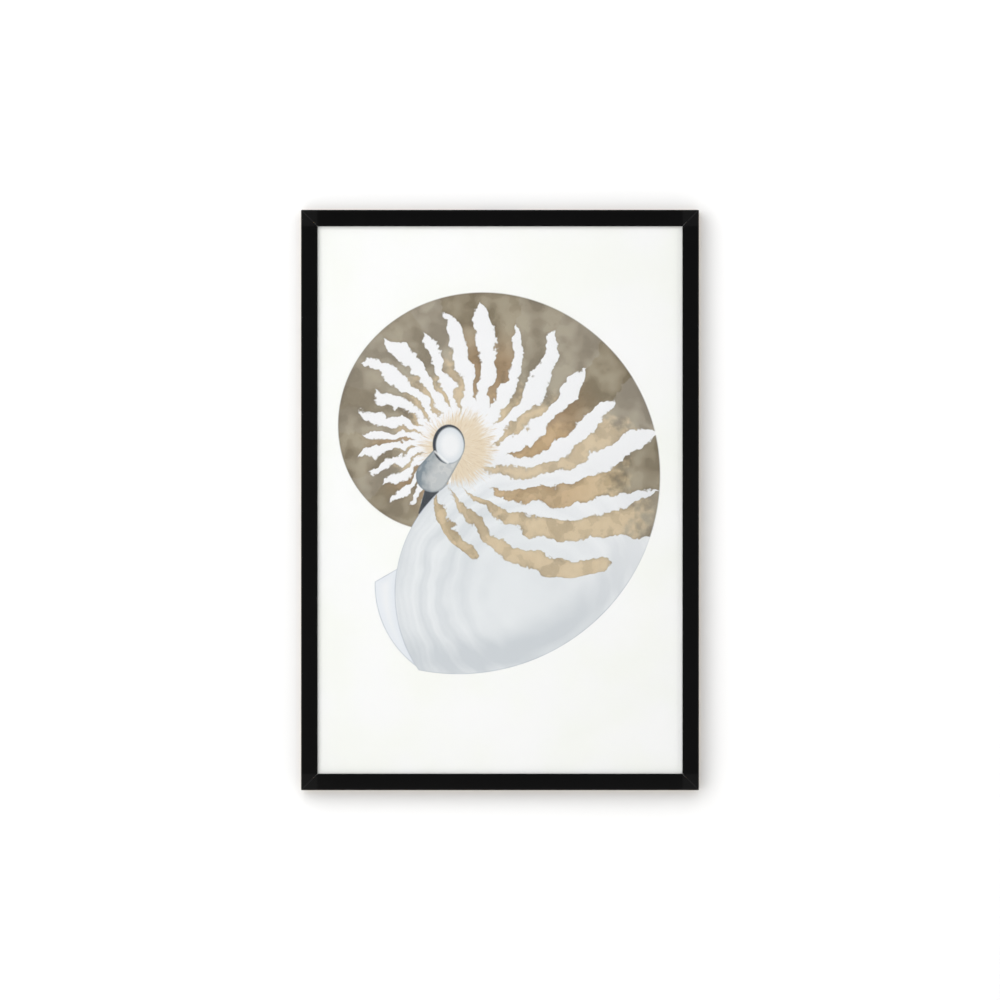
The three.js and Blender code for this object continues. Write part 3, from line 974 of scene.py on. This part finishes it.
def to_back(mesh, y):
    mesh.transform(Matrix.Translation((0, y, 0)) @ Matrix.Rotation(math.radians(-90), 4, "X"))
    return mesh


def spot(node, turn=0.0):
    """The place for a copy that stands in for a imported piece."""
    low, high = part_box(node)
    middle = (low + high) / 2
    return middle.x, middle.z, turn


def heading(x, z):
    """The turn that points local X along a direction on the wall."""
    return math.atan2(-z, x)


# %% Steel and brass finishes
def metal_finish(name, light, dark, roughness, scratch):
    material, where = new_finish(name)
    grain = where.vector("MULTIPLY", (scratch, 900, 900 * 900 / scratch)).noise(1.0, 3.0, 0.6)
    stain = where.noise(260.0, 3.0)
    colour = stain.ramp(0.38, 0.68).choose(light, dark)
    colour = (grain.ramp(0.55, 0.75) * 0.3).choose(colour, dark)
    rough = (grain - 0.5) * 0.22 + (stain - 0.5) * 0.2 + roughness
    return close_finish(
        material, colour, rough, height=grain * 0.6 + stain * 0.4, relief=0.02 * MM, Metallic=1.0
    )


steel = metal_finish("galvanised_steel", tone(196, 197, 194), tone(150, 151, 150), 0.34, 900.0)
brass = metal_finish("brass_plate", tone(216, 188, 122), tone(172, 142, 84), 0.30, 400.0)

# %% Framer's points
point_low, point_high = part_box("point_top_1")
half_width = (point_high.x - point_low.x) / 2
half_length = (point_high.z - point_low.z) / 2
POINT_TAPER = 3.0 * MM
POINT_ROUNDING = 0.08 * MM

point_tree, put = new_tree("point", ["Half width", "Half length", "Thickness", "Taper"])
wide, long = put["Half width"], put["Half length"]
shape = outline(
    point_tree,
    [(long - put["Taper"], 0 - wide), (long, wide * -0.5), (long, wide * 0.5),
     (long - put["Taper"], wide), (0 - long, wide), (0 - long, 0 - wide)],
    [0.0, 0.0, 0.0, 0.0, wide, wide],
)
copies(point_tree, put, thicken(filled(shape), put["Thickness"]))
OUTWARD = {"top": (0, 1), "right": (1, 0), "bottom": (0, -1), "left": (-1, 0)}
point_names = [name for name in nodes if name.startswith("point_")]
point_places = [spot(name, heading(*OUTWARD[name.split("_")[1]])) for name in point_names]
sizes = {"Half width": half_width, "Half length": half_length,
         "Thickness": point_high.y - point_low.y, "Taper": POINT_TAPER}
mesh = grow("points", point_tree, sizes, steel, spots("points", point_places), POINT_ROUNDING)
add_piece("framers_points", to_back(mesh, point_low.y), "steel", *point_names)

# %% Mitre wedges
WEDGE_LEG = 4.0 * MM
WEDGE_THICKNESS = 0.8 * MM
WEDGE_HALF_ANGLE = math.radians(55)
WEDGE_MIDDLE = 2.06 * MM
WEDGE_PROUD = 0.06 * MM

wedge_low, wedge_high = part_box("mitre_wedge_top_right_1")
wedge_tree, put = new_tree("wedge", ["Leg", "Half thickness", "Height", "Middle"])
sine, cosine = math.sin(WEDGE_HALF_ANGLE), math.cos(WEDGE_HALF_ANGLE)
leg, thin, shift = put["Leg"], put["Half thickness"], 0 - put["Middle"]
out_x, in_x = leg * cosine - thin * sine + shift, leg * cosine + thin * sine + shift
out_y, in_y = leg * sine + thin * cosine, leg * sine - thin * cosine
shape = outline(
    wedge_tree,
    [(shift - thin / sine, 0.0), (out_x, 0 - out_y), (in_x, 0 - in_y),
     (shift + thin / sine, 0.0), (in_x, in_y), (out_x, out_y)],
    [thin, 0.0, 0.0, 0.0, 0.0, 0.0],
)
copies(wedge_tree, put, thicken(filled(shape), put["Height"]))
wedge_names = [name for name in nodes if name.startswith("mitre_wedge_")]
wedge_places = []
for name in wedge_names:
    up = 1 if "_top_" in name else -1
    right = 1 if "_right_" in name else -1
    wedge_places.append(spot(name, heading(-right, -up)))
wedge_height = wedge_high.y - wedge_low.y
sizes = {"Leg": WEDGE_LEG, "Half thickness": WEDGE_THICKNESS / 2, "Height": wedge_height,
         "Middle": WEDGE_MIDDLE}
mesh = grow("wedges", wedge_tree, sizes, steel, spots("wedges", wedge_places), 0.1 * MM)
to_back(mesh, rail_high.y + WEDGE_PROUD - wedge_height)
add_piece("mitre_wedges", mesh, "steel", *wedge_names)

# %% [markdown]
# ## Sawtooth hanger
# The hanger is a stamped strip with brass plating. Both its feet lie on the top rail, and the
# middle is bent clear of it, with a row of teeth along the lower edge that sits on the nail.
# A grid with a column every half millimetre is enough: its lower row follows the teeth, and
# every column rises by how near it is to the middle.

# %% Hanger
HANGER_TEETH = 7
TOOTH_PITCH = 3.0 * MM
TOOTH_DEPTH = 2.2 * MM
HANGER_THICKNESS = 1.0 * MM
FOOT_END = 15.0 * MM
BEND_END = 13.0 * MM
CORNER_CUT = 0.8 * MM

strip_low, strip_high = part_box("sawtooth_hanger")
strip_length = strip_high.x - strip_low.x
strip_height = strip_high.z - strip_low.z
hanger_tree, put = new_tree("hanger", ["Length", "Height", "Thickness", "Standoff", "Tooth pitch",
                                       "Tooth depth", "Teeth", "Foot end", "Bend end"])
start = Wire(hanger_tree)
columns = {"Size X": put["Length"], "Size Y": put["Height"], "Vertices X": 97, "Vertices Y": 6}
strip = start.node("GeometryNodeMeshGrid", inputs=columns)
x, y, _ = start.node("GeometryNodeInputPosition").parts()
across = 0.5 - y / put["Height"]
phase = x / put["Tooth pitch"] + put["Teeth"] * 0.5
tooth = 1 - abs(phase - phase.floor() - 0.5) * 2
toothed = abs(x) < put["Tooth pitch"] * put["Teeth"] * 0.5
cut = (1 - across) * tooth * toothed * put["Tooth depth"]
corner = (abs(x) - put["Length"] * 0.5 + CORNER_CUT).most(0)
trimmed = y * (1 - corner / put["Height"] * 2)
rise = abs(x).ramp(put["Bend end"], put["Foot end"], put["Standoff"], 0.0)
strip = start.node("GeometryNodeSetPosition",
                   inputs={"Geometry": strip, "Position": x.joined(trimmed - cut, rise)})
end_tree(thicken(strip, put["Thickness"]), put["Finish"])
sizes = {"Length": strip_length, "Height": strip_height, "Thickness": HANGER_THICKNESS,
         "Standoff": strip_high.y - strip_low.y - HANGER_THICKNESS, "Tooth pitch": TOOTH_PITCH,
         "Tooth depth": TOOTH_DEPTH, "Teeth": float(HANGER_TEETH), "Foot end": FOOT_END,
         "Bend end": BEND_END}
mesh = grow("hanger", hanger_tree, sizes, brass)
hanger_x, hanger_z, _ = spot("sawtooth_hanger")
mesh.transform(Matrix.Translation((hanger_x, -hanger_z, 0)))
add_piece("hanger_strip", to_back(mesh, strip_low.y), "hanger", "sawtooth_hanger")

# %% [markdown]
# ## Screw heads and bumpers
# Both are round buttons with a flatter top: pan-head screws through the hanger's feet, and
# soft bumpers on the lower corners that keep the frame parallel to the wall. A cylinder whose
# rings close in as they rise gives either one. The screws are cut by a slot and have a shank.
# The rubber is matt, with the fine skin of its mould and a little dust.

# %% Buttons
def lifted(shape, height):
    up = height.node("ShaderNodeCombineXYZ", inputs={2: height})
    inputs = {"Geometry": shape, "Translation": up}
    return shape.node("GeometryNodeTransform", inputs=inputs)


def button_tree(name, slotted):
    tree, put = new_tree(name, ["Radius", "Flat radius", "Height", "Slot", "Shank radius",
                                "Shank length"])
    start = Wire(tree)
    rings = {"Vertices": 40, "Side Segments": 8, "Fill Segments": 4, "Radius": 1.0, "Depth": 1.0}
    button = start.node("GeometryNodeMeshCylinder", inputs=rings)
    place = start.node("GeometryNodeInputPosition")
    x, y, z = place.parts()
    risen = z + 0.5
    closing = (1 - risen * risen).most(0) ** 0.5
    radius = put["Flat radius"] + (put["Radius"] - put["Flat radius"]) * closing
    dome = 1 - (x * x + y * y) * risen * 0.12
    place = (x * radius).joined(y * radius, put["Height"] * risen * dome)
    moved = {"Geometry": button, "Position": place}
    button = start.node("GeometryNodeSetPosition", inputs=moved)
    if slotted:
        size = (put["Radius"] * 3).joined(put["Slot"], put["Height"])
        blade = start.node("GeometryNodeMeshCube", inputs={"Size": size})
        pair = {"Mesh 1": button, "Mesh 2": lifted(blade, put["Height"])}
        button = start.node("GeometryNodeMeshBoolean", {"operation": "DIFFERENCE"}, pair)
        shank = start.node("GeometryNodeMeshCone", inputs={
            "Vertices": 20, "Radius Top": put["Shank radius"],
            "Radius Bottom": put["Shank radius"] * 0.25, "Depth": put["Shank length"]})
        button = together(button, lifted(shank, put["Shank length"] * -1.001))
    copies(tree, put, button)
    return tree


SCREW_FLAT = 1.1 * MM
SCREW_SLOT = 0.7 * MM
SCREW_HEAD = 1.4 * MM
SHANK_RADIUS = 1.1 * MM
BUMPER_FLAT = 3.2 * MM

screw_low, screw_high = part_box("hanger_screw_left")
screw_names = ["hanger_screw_left", "hanger_screw_right"]
sizes = {"Radius": (screw_high.x - screw_low.x) / 2, "Flat radius": SCREW_FLAT,
         "Height": SCREW_HEAD, "Slot": SCREW_SLOT, "Shank radius": SHANK_RADIUS,
         "Shank length": screw_high.y - screw_low.y - SCREW_HEAD}
places = [spot(name, turn) for name, turn in zip(screw_names, [0.5, -1.1])]
mesh = grow("screws", button_tree("screw", True), sizes, steel, spots("screws", places))
to_back(mesh, screw_high.y - SCREW_HEAD)
add_piece("hanger_screws", mesh, "steel", *screw_names)

rubber, rubber_place = new_finish("bumper_rubber")
skin = rubber_place.noise(2400.0, 2.0)
dust = rubber_place.noise(500.0, 3.0)
rubber_tone = dust.ramp(0.40, 0.75).choose(tone(46, 46, 48), tone(78, 77, 76))
close_finish(rubber, rubber_tone, skin * 0.2 + 0.6, height=skin, relief=0.03 * MM)

bumper_names = ["bumper_left", "bumper_right"]
bumper_low, bumper_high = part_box("bumper_left")
sizes = {"Radius": (bumper_high.x - bumper_low.x) / 2, "Flat radius": BUMPER_FLAT,
         "Height": bumper_high.y - bumper_low.y}
places = [spot(name) for name in bumper_names]
mesh = grow("bumpers", button_tree("bumper", False), sizes, rubber, spots("bumpers", places))
add_piece("bumpers", to_back(mesh, bumper_low.y), "bumper", *bumper_names)
